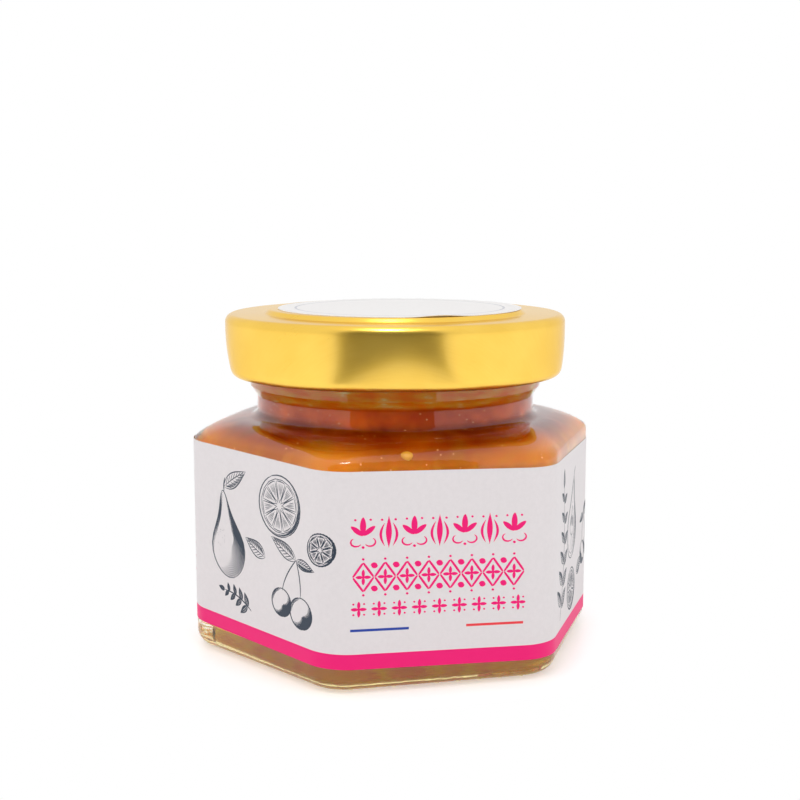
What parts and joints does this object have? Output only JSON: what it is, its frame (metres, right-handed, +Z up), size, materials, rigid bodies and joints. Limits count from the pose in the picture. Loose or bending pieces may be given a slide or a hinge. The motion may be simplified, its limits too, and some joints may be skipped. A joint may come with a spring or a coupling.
{
  "type": "jam jar",
  "caption": "Hexagonal glass jar filled with fruit jam, shut with a gold twist-off cap, with a slightly slanted paper label and a round paper seal on the cap.",
  "frame": {"origin": "on the table, under the middle of the jar's base", "axes": "+Z up through the cap; a flat side of the hexagon, the label's front, faces -Y; +X towards the corner at the front's right"},
  "size_m": [0.0672, 0.0601, 0.0555],
  "materials": {
    "clear_glass": "clear flint glass with a faint yellow-green edge",
    "jam": "translucent amber fruit jam with soft pieces and seeds",
    "gold_cap": "satin gold lacquer on tinplate with a fine horizontal grain",
    "gasket": "soft moulded sealing compound",
    "label_paper": "satin coated paper with a pink band along its lower edge and slate line drawings",
    "seal_paper": "satin coated white paper"
  },
  "bodies": {
    "root": {"glass_jar": "clear_glass", "jam": "jam", "cap": "gold_cap", "gasket": "gasket", "body_label": "label_paper", "lid_label": "seal_paper"}
  },
  "joints": []
}
